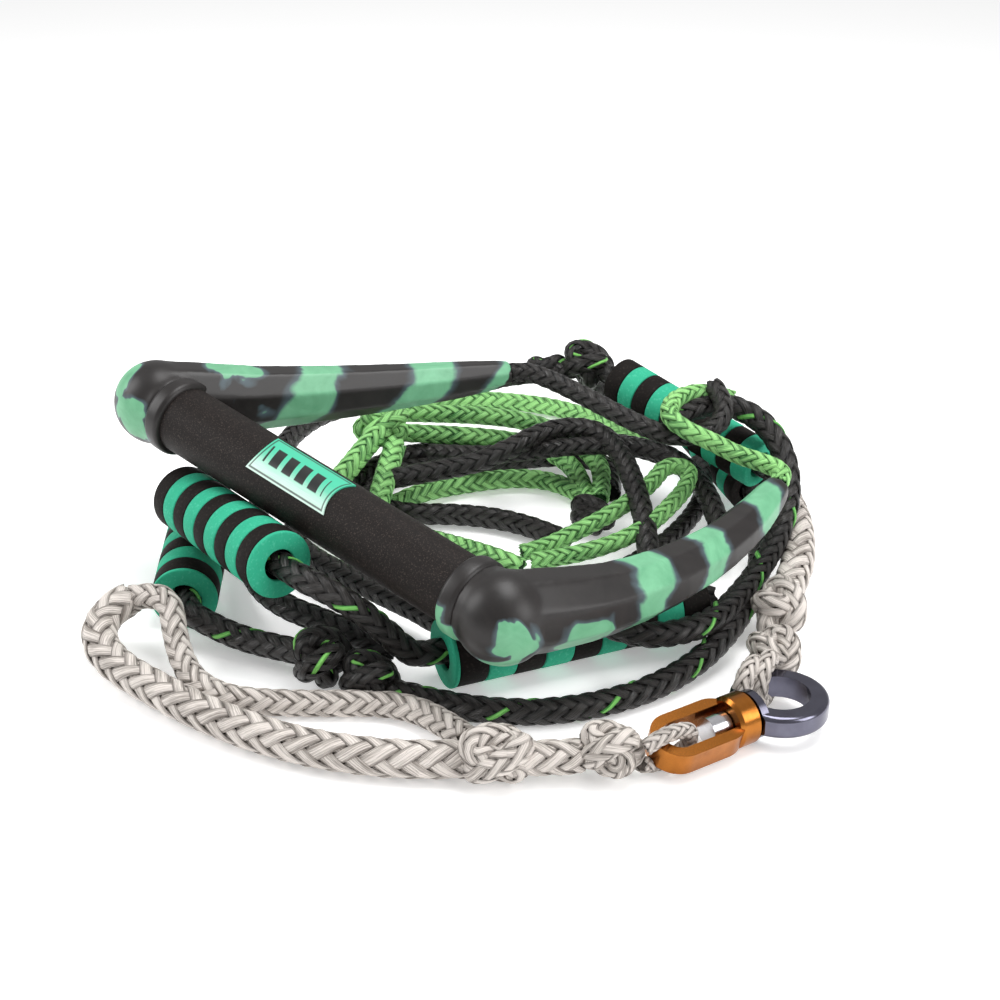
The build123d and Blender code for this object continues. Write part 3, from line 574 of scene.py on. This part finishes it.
def braid(name, line, diameter, kind, closed=False, lay=3.9):
    """A hollow braid along a line: flat yarns in both turns, each over two and under two.

    Black line with a fleck in it has one slim green yarn. The lay is one turn's length in diameters.
    """
    count = len(line)
    sides, ups = carried_frames(line, closed)
    travelled = travel(line)
    total = travelled[-1] + (np.linalg.norm(line[0] - line[-1]) if closed else 0)
    turns = total / (lay * diameter)
    if closed:
        turns = max(1, round(turns))
    crossing = total / turns / (2 * YARNS_EACH_WAY)
    thick = 0.05 * diameter
    rise = 0.04 * diameter
    middle = diameter / 2 - thick - rise
    half_width = math.pi * middle / YARNS_EACH_WAY * math.cos(math.atan(2 * math.pi * middle * turns / total))
    rng = np.random.default_rng(len(name) * 7 + count)
    rows = np.arange(count if closed else count - 1)
    near, far = travelled[rows], travelled[rows] + total / count
    verts, faces, slots, uvs, shades = [], [], [], [], []
    base = 0
    for way in (1, -1):
        for carrier in range(YARNS_EACH_WAY):
            slim = kind == "flecked" and way == 1 and carrier == 0
            angle = 2 * math.pi * carrier / YARNS_EACH_WAY + way * 2 * math.pi * turns * travelled / total
            weave = way * np.cos(math.pi / 2 * (2 * carrier + way * travelled / crossing - 0.5))
            outward_way = np.cos(angle)[:, None] * sides + np.sin(angle)[:, None] * ups
            centre = line + (middle + rise * weave)[:, None] * outward_way
            breadth = np.cross(outward_way, slope_of(centre, closed))
            breadth /= np.linalg.norm(breadth, axis=1)[:, None]
            shade = rng.random()
            wander = 1 + 0.10 * np.sin(travelled / crossing * rng.uniform(0.5, 0.9) + rng.uniform(0, 6))
            wide = half_width * wander * (0.5 if slim else rng.uniform(0.9, 1.04))
            for turn in np.linspace(0, 2 * math.pi, YARN_SIDES + 1)[:-1]:
                verts.append(centre + (wide * math.cos(turn))[:, None] * breadth
                             + thick * math.sin(turn) * outward_way)
            faces += tube_quads(base, YARN_SIDES, count, rows)
            for index in range(YARN_SIDES):
                left, right = (np.full(len(rows), edge / YARN_SIDES) for edge in (index, index + 1))
                uvs.append(np.stack([left, near, left, far, right, far, right, near], axis=1))
            slots.append(np.full(len(rows) * YARN_SIDES, 1 if slim else 0))
            shades.append(np.full(count * YARN_SIDES, shade))
            base += YARN_SIDES * count
    # a dark tube inside the hollow braid: painted shade seen through the gaps between its yarns
    core = middle - 0.6 * thick
    for index in range(CORE_SIDES):
        turn = 2 * math.pi * index / CORE_SIDES
        verts.append(line + core * (math.cos(turn) * sides + math.sin(turn) * ups))
    faces += tube_quads(base, CORE_SIDES, count, rows)
    uvs.append(np.zeros((len(rows) * CORE_SIDES, 8)))
    slots.append(np.full(len(rows) * CORE_SIDES, 2))
    shades.append(np.full(count * CORE_SIDES, 0.0))
    verts = np.concatenate(verts)
    faces = np.concatenate(faces).tolist()
    uvs = np.concatenate(uvs).reshape(-1, 2)
    slots = np.concatenate(slots)
    if not closed:
        base = 0
        for tube in range(2 * YARNS_EACH_WAY + 1):
            in_core = tube == 2 * YARNS_EACH_WAY
            size = CORE_SIDES if in_core else YARN_SIDES
            for row, order in ((0, range(size)), (count - 1, range(size - 1, -1, -1))):
                faces.append([base + index * count + row for index in order])
                uvs = np.concatenate([uvs, np.zeros((size, 2))])
                slots = np.append(slots, 2 if in_core else 0)
            base += size * count
    mesh = bpy.data.meshes.new(name)
    mesh.from_pydata(verts.tolist(), [], faces)
    mesh.uv_layers.new(name="yarn").data.foreach_set("uv", uvs.ravel())
    mesh.attributes.new("shade", "FLOAT", "POINT").data.foreach_set("value", np.concatenate(shades))
    mesh.polygons.foreach_set("material_index", slots.astype(np.int32))
    mesh.polygons.foreach_set("use_smooth", np.ones(len(faces), dtype=bool))
    for one in (YARNS[kind], TRACER, SHADE_CORES[kind]):
        mesh.materials.append(one)
    mesh.update()
    made = bpy.data.objects.new(name, mesh)
    bpy.context.scene.collection.objects.link(made)
    return made


def make_line(name):
    """One run of the line, braided on its route."""
    diameter, kind, points = ROUTES[name]
    line = spline_line(points, STEP * diameter)
    piece = braid(name + "_braid", line, diameter, kind)
    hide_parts(name)
    length = float(np.linalg.norm(np.diff(line, axis=0), axis=1).sum())
    return piece, line, length


LINES = {name: make_line(name) for name in ROUTES}


# --- knots -----------------------------------------------------------------------------------------

def make_knot(name):
    """A pulled knot: the line's three crossing turns round the standing part."""
    stood_for, kind, centre, toward, half_length, radius, diameter, turn = KNOTS[name]
    long_way = (Vector(toward) - Vector(centre)).normalized()
    reach = radius - diameter / 2
    around = np.linspace(0, 2 * math.pi, 241)[:-1]
    ring = reach * (0.74 + 0.26 * np.cos(3 * around + turn))
    loop = np.stack([ring * np.cos(2 * around), ring * np.sin(2 * around),
                     (half_length - diameter * 0.36) * np.sin(3 * around + turn)
                     + 0.0012 * np.cos(around + turn)], axis=1)
    seat = np.array(frame_at(Vector(centre), long_way) @ Matrix.Rotation(turn, 4, "Z"))
    loop = loop @ seat[:3, :3].T + seat[:3, 3]
    loop = even(np.vstack([loop, loop[:1]]), KNOT_STEP * diameter)[:-1]
    piece = braid(name + "_braid", loop, diameter, kind, closed=True, lay=4.2)
    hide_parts(stood_for)
    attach(piece, "root")
    return piece


KNOT_PIECES = {name: make_knot(name) for name in KNOTS}


# --- floats ----------------------------------------------------------------------------------------

def foam_disc(radius, bore, thickness, rounding):
    """A disc with a hole, its edges softened, standing on z = 0."""
    deselect()
    bpy.ops.mesh.primitive_circle_add(vertices=72, radius=radius, fill_type="NOTHING")
    disc = bpy.context.object
    edit_all()
    bpy.ops.mesh.extrude_edges_move()
    bpy.ops.transform.resize(value=(bore / radius,) * 3, center_override=(0, 0, 0))
    bpy.ops.mesh.select_all(action="SELECT")
    bpy.ops.mesh.extrude_region_move(TRANSFORM_OT_translate={"value": (0, 0, thickness)})
    bpy.ops.object.mode_set(mode="OBJECT")
    outward(disc)
    edge = disc.modifiers.new("edge", "BEVEL")
    edge.width = rounding
    edge.segments = 3
    edge.limit_method = "ANGLE"
    finish_modifiers(disc)
    bpy.ops.object.shade_smooth_by_angle(angle=math.radians(50))
    return disc


CAP = 0.0022                 # thickness of the thin disc that ends some floats


def make_float(name):
    """Discs laid face to face along the float, each a little under size as glued foam is."""
    start, end, radius, bore, colours = FLOATS[name]
    start, end = Vector(start), Vector(end)
    direction = (end - start).normalized()
    whole = (end - start).length
    caps = colours.count("c")
    pitch = (whole - caps * CAP) / (len(colours) - caps)
    full = foam_disc(radius, bore, pitch, 0.0009)
    thin = foam_disc(radius, bore, CAP, 0.0007) if caps else None
    rng = np.random.default_rng(len(name) + ord(name[-1]))
    discs = []
    at = 0.0
    for letter in colours:
        cap = letter == "c"
        disc = (thin if cap else full).copy()
        disc.data = disc.data.copy()
        bpy.context.scene.collection.objects.link(disc)
        swell = 1 + rng.uniform(-0.012, 0.0)
        seat = frame_at(start + direction * at, direction) @ Matrix.Diagonal((swell, swell, 1, 1))
        disc.data.materials.clear()
        disc.data.materials.append(FOAM_TEAL if letter in "tc" else FOAM_BLACK)
        place(disc, seat)
        discs.append(disc)
        at += CAP if cap else pitch
    bpy.data.objects.remove(full)
    if thin:
        bpy.data.objects.remove(thin)
    piece = join(name + "_foam", discs)
    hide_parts(name)
    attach(piece, name)


for name in FLOATS:
    make_float(name)


# --- marbled rubber ---------------------------------------------------------------------------------

def make_marble_group():
    """Swirled rubber: bands across an arm, slanted and torn, over a charcoal ground."""
    inputs = {"Corner": None, "Along": None, "Up": None, "Slant": 0.5}
    tree, entry, out = group("marbled_rubber_swirl", inputs, ["Place", "Cloud", "Tear"])
    where = here(tree)
    from_corner = vector_maths(tree, "SUBTRACT", where, entry.outputs["Corner"]).outputs[0]
    along = vector_maths(tree, "DOT_PRODUCT", from_corner, entry.outputs["Along"]).outputs["Value"]
    above = vector_maths(tree, "DOT_PRODUCT", from_corner, entry.outputs["Up"]).outputs["Value"]
    warp = noise(tree, Vector=where, Scale=38.0, Detail=3.0, Roughness=0.5, Distortion=0.6)
    slanted = plus(tree, along, times(tree, above, entry.outputs["Slant"]))
    torn = times(tree, maths(tree, "SUBTRACT", warp, 0.5), 0.022)
    at = maths(tree, "DIVIDE", plus(tree, slanted, torn), ARM_LENGTH)
    cloud = noise(tree, Vector=where, Scale=60.0, Detail=5.0, Roughness=0.6, Distortion=1.2)
    swirl = noise(tree, Vector=where, Scale=34.0, Detail=2.0, Roughness=0.45, Distortion=1.6)
    wire(tree, out, Place=at, Cloud=cloud, Tear=swirl)
    return tree


MARBLE = make_marble_group()


def marble_material(name, corner, tip, slant, bands, patches):
    """Sage bands, each from and to a part of the arm's length, and sage patches, each a place and a size."""
    made, tree, shader = material(name)
    direction = (tip - corner).normalized()
    swirl = node(tree, "ShaderNodeGroup", {"node_tree": MARBLE}, Corner=corner, Along=direction,
                 Up=across(direction)[1], Slant=slant)
    stops = [(0.0, 0.0)]
    hem = [(0.0, 0.0)]
    for start, end in bands:
        stops += [(start - 0.005, 0.0), (start + 0.005, 1.0), (end - 0.005, 1.0), (end + 0.005, 0.0)]
        hem += [(start - 0.022, 0.0), (start, 1.0), (end, 1.0), (end + 0.022, 0.0)]
    sage = ramp(tree, swirl.outputs["Place"], stops)
    misty = ramp(tree, swirl.outputs["Place"], hem)
    where = here(tree)
    torn = times(tree, maths(tree, "SUBTRACT", swirl.outputs["Tear"], 0.5), 0.03)
    for centre, size in patches:
        away = vector_maths(tree, "DISTANCE", where, centre).outputs["Value"]
        inside = maths(tree, "DIVIDE", plus(tree, away, torn), size)
        sage = maths(tree, "MAXIMUM", sage, falls(tree, inside, 0.62, 0.67))
        misty = maths(tree, "MAXIMUM", misty, falls(tree, inside, 0.66, 0.84))
    ground = mix(tree, swirl.outputs["Cloud"], rgb(14, 12, 12), rgb(42, 38, 37))
    bluish = mix(tree, swirl.outputs["Cloud"], rgb(36, 46, 52), rgb(92, 112, 120))
    green = mix(tree, swirl.outputs["Cloud"], rgb(70, 134, 98), rgb(130, 196, 154))
    colour = mix(tree, sage, mix(tree, misty, ground, bluish), green)
    grain = noise(tree, Vector=where, Scale=1400.0)
    rise = bump(tree, grain, 0.06, 0.0001)
    rough = plus(tree, times(tree, swirl.outputs["Cloud"], 0.16), 0.34)
    wire(tree, shader, Base_Color=colour, Roughness=rough, Normal=rise, Specular_IOR_Level=0.35,
         Coat_Weight=0.08, Coat_Roughness=0.3)
    return made


REAR_MARBLE = marble_material("rear_marbled_rubber", REAR_CORNER, REAR_TIP, -0.72,
                              [(0.353, 0.485), (0.70, 0.81), (0.953, 1.02)],
                              [((-0.086, 0.033, 0.029), 0.017), ((-0.100, -0.018, 0.012), 0.015),
                               ((-0.118, -0.010, 0.030), 0.012), ((-0.072, 0.040, 0.002), 0.014)])
FRONT_MARBLE = marble_material("front_marbled_rubber", FRONT_CORNER, FRONT_TIP, -0.35,
                               [(0.33, 0.42), (0.56, 0.645), (0.83, 0.93)],
                               [((0.133, -0.010, -0.019), 0.015), ((0.126, -0.010, -0.033), 0.014),
                                ((0.139, 0.026, -0.028), 0.017), ((0.096, -0.016, -0.020), 0.013)])

ARM_SECTIONS = [
    # part of the arm's length, width, height, lift
    (0.00, 0.0330, 0.0350, 0.0015), (0.10, 0.0330, 0.0340, 0.001), (0.28, 0.0290, 0.0290, 0),
    (0.58, 0.0240, 0.0230, 0), (0.84, 0.0185, 0.0175, 0), (0.96, 0.0145, 0.0135, 0),
    (1.00, 0.0120, 0.0110, 0),
]


OCTAGON = 0.5412             # corner radius of an octagon that is one across its flats
CUTS = 3                     # steps from one section of an arm to the next
BEND_REACH = 0.024           # the skin is smoothed this far from a corner


def arm_frame(corner, tip, bow, share):
    """The place, side and up of an arm's middle line, at a part of its length."""
    spot = corner + (tip - corner) * share + bow * (4 * share * (1 - share))
    return spot, *across((tip - corner + bow * (4 - 8 * share)).normalized())


def make_boot(end, corner, other, tip, bow, skin):
    """Arm, knuckle ball and the stub that enters the collar, melted into one skin of rubber."""
    deselect()
    width, height = ARM_SECTIONS[0][1:3]
    bpy.ops.mesh.primitive_circle_add(vertices=8, radius=OCTAGON, fill_type="NGON",
                                      rotation=(0, 0, math.radians(22.5)))
    arm = bpy.context.object
    bpy.ops.object.transform_apply(location=False, rotation=True, scale=False)
    edit_all()
    bpy.ops.transform.resize(value=(width, height, 1), center_override=(0, 0, 0))
    before = ARM_SECTIONS[0]
    for section in ARM_SECTIONS[1:]:
        for step in range(1, CUTS + 1):
            share = before[0] + (section[0] - before[0]) * step / CUTS
            grown = [1 + (section[k] / before[k] - 1) * step / CUTS for k in (1, 2)]
            held = [1 + (section[k] / before[k] - 1) * (step - 1) / CUTS for k in (1, 2)]
            bpy.ops.mesh.extrude_region_move(
                TRANSFORM_OT_translate={"value": (0, 0, (section[0] - before[0]) / CUTS * ARM_LENGTH)})
            bpy.ops.transform.resize(value=(grown[0] / held[0], grown[1] / held[1], 1),
                                     center_override=(0, 0, share * ARM_LENGTH))
        before = section
    bpy.ops.object.mode_set(mode="OBJECT")
    parts = [section[0] for section in ARM_SECTIONS]
    lifts = [section[3] for section in ARM_SECTIONS]
    for vertex in arm.data.vertices:
        share = vertex.co.z / ARM_LENGTH
        spot, side, up = arm_frame(corner, tip, bow, share)
        vertex.co = spot + side * vertex.co.x + up * (vertex.co.y + float(np.interp(share, parts, lifts)))
    outward(arm)
    deselect()
    bpy.ops.mesh.primitive_uv_sphere_add(segments=48, ring_count=24, radius=KNUCKLE_RADIUS)
    ball = bpy.context.object
    place(ball, Matrix.Translation(corner))
    bpy.ops.mesh.primitive_cylinder_add(vertices=48, radius=0.0178, depth=0.016)
    stub = bpy.context.object
    inward = (other - corner).normalized()
    place(stub, frame_at(corner + inward * 0.006, inward))
    boot = join(end + "_boot", [ball, arm, stub])
    melt = boot.modifiers.new("melt", "REMESH")
    melt.mode = "VOXEL"
    melt.voxel_size = 0.0009
    finish_modifiers(boot)
    zone = boot.vertex_groups.new(name="bend")
    for vertex in boot.data.vertices:
        reach = (vertex.co - corner).length
        weight = 1.0 if reach < BEND_REACH else max(0.06, 1 - (reach - BEND_REACH) / 0.02)
        zone.add([vertex.index], weight, "REPLACE")
    smooth = boot.modifiers.new("smooth", "SMOOTH")
    smooth.factor = 0.6
    smooth.iterations = 26
    smooth.vertex_group = "bend"
    finish_modifiers(boot)
    bpy.ops.object.shade_smooth()
    boot.data.materials.clear()
    boot.data.materials.append(skin)
    boot.vertex_groups.clear()
    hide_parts(end + "_arm", end + "_knuckle")
    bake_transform(boot)


make_boot("rear", REAR_CORNER, FRONT_CORNER, REAR_TIP, REAR_BOW, REAR_MARBLE)
make_boot("front", FRONT_CORNER, REAR_CORNER, FRONT_TIP, FRONT_BOW, FRONT_MARBLE)


def make_collar(end, corner, other, skin):
    """A domed rubber collar between knuckle and foam."""
    inward = (other - corner).normalized()
    deselect()
    bpy.ops.mesh.primitive_cylinder_add(vertices=72, radius=COLLAR_RADIUS, depth=0.0095)
    collar = bpy.context.object
    dome = collar.modifiers.new("dome", "BEVEL")
    dome.width = 0.0026
    dome.segments = 6
    dome.limit_method = "ANGLE"
    finish_modifiers(collar)
    bpy.ops.object.shade_smooth_by_angle(angle=math.radians(50))
    place(collar, frame_at(corner + inward * COLLAR_AT, inward))
    collar.name = end + "_collar_dome"
    collar.data.materials.append(skin)
    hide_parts(end + "_collar")
    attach(collar, "root")


make_collar("rear", REAR_CORNER, FRONT_CORNER, REAR_MARBLE)
make_collar("front", FRONT_CORNER, REAR_CORNER, FRONT_MARBLE)


# --- grip label -------------------------------------------------------------------------------------

def label_material():
    """Blue-green at the top, brushed pale at the bottom, with a dark outline and slanted bars."""
    made, tree, shader = material("grip_label_print")
    uv = node(tree, "ShaderNodeUVMap", {"uv_map": "face"}).outputs[0]
    u, v = node(tree, "ShaderNodeSeparateXYZ", n0=uv).outputs[:2]
    fade = ramp(tree, v, [(0.0, 1.0), (0.16, 0.75), (0.42, 0.15), (0.6, 0.0)])
    streaks = noise(tree, Vector=node(tree, "ShaderNodeMapping", n0=uv, n3=(5, 70, 1)).outputs[0],
                    Scale=1.0, Detail=4.0)
    brushed = maths(tree, "MULTIPLY", fade, plus(tree, streaks, 0.45), clamp=True)
    face = mix(tree, brushed, rgb(66, 186, 150), rgb(208, 232, 220))
    lean = plus(tree, u, times(tree, v, 0.10))
    bars = maths(tree, "PINGPONG", times(tree, lean, 5.6), 0.5)
    bars = rises(tree, bars, 0.15, 0.17)
    tall = times(tree, rises(tree, v, 0.27, 0.29), falls(tree, v, 0.69, 0.71))
    wide = times(tree, rises(tree, lean, 0.12, 0.13), falls(tree, lean, 0.93, 0.94))
    mark = times(tree, bars, times(tree, tall, wide))
    rim_u = maths(tree, "ABSOLUTE", maths(tree, "SUBTRACT", u, 0.5))
    rim_v = maths(tree, "ABSOLUTE", maths(tree, "SUBTRACT", v, 0.5))
    rim = maths(tree, "MAXIMUM", rises(tree, rim_u, 0.462, 0.468), rises(tree, rim_v, 0.415, 0.43))
    inner_rim = maths(tree, "MAXIMUM", rises(tree, rim_u, 0.478, 0.484), rises(tree, rim_v, 0.455, 0.47))
    outline = maths(tree, "SUBTRACT", rim, inner_rim, clamp=True)
    dark = maths(tree, "MAXIMUM", mark, times(tree, outline, 0.85))
    wire(tree, shader, Base_Color=mix(tree, dark, face, rgb(22, 26, 25)), Roughness=0.38,
         Normal=bump(tree, maths(tree, "SUBTRACT", 1.0, dark), 0.25, 0.0002))
    return made


def make_label():
    """A thin patch wrapped on the foam, its short ends hollowed and its corners pointed."""
    deselect()
    bpy.ops.mesh.primitive_grid_add(x_subdivisions=48, y_subdivisions=24, size=1)
    label = bpy.context.object
    axis = (FRONT_CORNER - REAR_CORNER).normalized()
    middle = REAR_CORNER + axis * (LABEL_START + LABEL_END) / 2
    flat_way = Vector((0, 1, 0))
    over = axis.cross(flat_way)
    face = label.data.uv_layers[0]
    face.name = "face"
    for loop in label.data.loops:
        spot = label.data.vertices[loop.vertex_index].co
        face.data[loop.index].uv = (spot.x + 0.5, spot.y + 0.5)
    half = (LABEL_END - LABEL_START) / 2
    for vertex in label.data.vertices:
        x, y = vertex.co.x * 2, vertex.co.y * 2
        hollow = 0.0022 * (1 - y * y)
        at = x * (half - hollow)
        turn = LABEL_TURN - y * LABEL_HALF_WIDTH / (GRIP_RADIUS + 0.0006)
        lift = GRIP_RADIUS + 0.0004
        vertex.co = middle + axis * at + (flat_way * math.cos(turn) + over * math.sin(turn)) * lift
    outward(label)
    wall = label.modifiers.new("wall", "SOLIDIFY")
    wall.thickness = 0.0007
    wall.offset = 0
    finish_modifiers(label)
    bpy.ops.object.shade_smooth_by_angle(angle=math.radians(40))
    label.name = "grip_label_patch"
    label.data.materials.append(label_material())
    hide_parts("grip_label")
    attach(label, "root")


make_label()


# --- CAD pieces that stay, with their finish ---------------------------------------------------------

def give(name, finish):
    """A CAD node keeps its shape and gets a finish."""
    piece = nodes[name]
    for slot in piece.material_slots:
        slot.material = finish
    if not piece.material_slots:
        piece.data.materials.append(finish)


PLUG = foam_material("plug_moulding", rgb(20, 20, 22), rgb(34, 34, 36), 0.0005, rgb(60, 60, 60), 0.2,
                     rough=0.5)
TUBE = metal_material("tube_metal", rgb(190, 190, 194), rgb(160, 160, 166), 0.35)
give("grip_foam", GRIP_FOAM)
give("grip_tube", TUBE)
for name in ("rear_plug", "front_plug"):
    give(name, PLUG)
# the arm cores get the painted shade colours too
give("rear_arm_core", SHADE_CORES["black"])
give("front_arm_core", SHADE_CORES["green"])
give("swivel_bow", BRONZE)
give("swivel_eye", GUN_METAL)
for name in ("swivel_axle", "swivel_nut", "swivel_washer", "swivel_balls"):
    give(name, STEEL)


# --- what rides where: lines and knots on the root, the bow rope on the swivel's bow, the bridles on nothing ---

BRIDLES = {"bridle_rear": "rear_arm", "green_link": "front_arm"}
for name, (piece, line, length) in LINES.items():
    if name in BRIDLES:
        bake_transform(piece)
    else:
        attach(piece, "swivel_bow" if name == "bow_rope" else "root")

KNOTS_ON = {
    "float_line_c": ["second_knot"], "float_line_b": ["front_knot"],
    "float_line_d": ["apex_knot", "apex_small_knot"],
    "green_tail": ["green_knot"], "inner_lower": ["inner_knot"], "boat_loop": ["boat_knot", "neck_knot"],
    "grey_tail": ["link_knot_near", "link_knot_far"],
}
ON_BOAT_LOOP = ("boat_neck", "bow_rope")
for name, (piece, line, length) in LINES.items():
    if name in ON_BOAT_LOOP:
        continue
    companions = [KNOT_PIECES[knot] for knot in KNOTS_ON.get(name, [])]
    if name == "boat_loop":
        companions += [LINES[short][0] for short in ON_BOAT_LOOP]


# --- floor, light, camera ---------------------------------------------------------------------------
deselect()
bpy.ops.mesh.primitive_plane_add(size=6, location=(0, 0, FLOOR_Z))
floor = bpy.context.object
floor.name = "floor"
floor_finish, tree, shader = material("pale_floor")
paper = noise(tree, Vector=here(tree), Scale=600.0)
white = mix(tree, paper, (0.94, 0.94, 0.94, 1), (0.96, 0.96, 0.96, 1))
wire(tree, shader, Base_Color=white, Roughness=0.9, Specular_IOR_Level=0.0,
     Emission_Color=(1, 1, 1, 1), Emission_Strength=0.3)
floor.data.materials.append(floor_finish)

world = bpy.data.worlds.new("studio")
bpy.context.scene.world = world
world.use_nodes = True
sky = world.node_tree
seen = node(sky, "ShaderNodeBackground", Color=(1, 1, 1, 1), Strength=1.0)
wire(sky, sky.nodes["Background"], Color=(1, 1, 1, 1), Strength=0.52)
eye_rays = node(sky, "ShaderNodeLightPath").outputs["Is Camera Ray"]
chosen = node(sky, "ShaderNodeMixShader", n0=eye_rays, n1=sky.nodes["Background"].outputs[0],
              n2=seen.outputs[0])
sky.links.new(chosen.outputs[0], sky.nodes["World Output"].inputs["Surface"])


def lamp(name, place_at, aim, size, power):
    data = bpy.data.lights.new(name, "AREA")
    data.shape = "RECTANGLE"
    data.size, data.size_y = size
    data.energy = power
    light = bpy.data.objects.new(name, data)
    light.location = place_at
    light.rotation_euler = (Vector(aim) - Vector(place_at)).to_track_quat("-Z", "Y").to_euler()
    bpy.context.scene.collection.objects.link(light)


lamp("top_softbox", (0.10, 0.25, 1.0), (0, 0.05, -0.05), (0.8, 0.5), 9)
lamp("left_softbox", (-0.75, -0.55, 0.55), (0, 0.05, -0.03), (0.5, 0.7), 6)
lamp("right_softbox", (0.95, 0.25, 0.45), (0.05, 0.05, -0.03), (0.5, 0.6), 5)

EYE = Vector((0.5625, -0.4896, 0.3600))
LOOK = Vector((-0.607, 0.663, -0.438))
camera_data = bpy.data.cameras.new("camera")
camera_data.sensor_width = 36
camera_data.lens = 66.5
camera = bpy.data.objects.new("camera", camera_data)
camera.location = EYE
camera.rotation_euler = LOOK.to_track_quat("-Z", "Y").to_euler()
bpy.context.scene.collection.objects.link(camera)
bpy.context.scene.camera = camera
bpy.context.scene.view_settings.view_transform = "Standard"
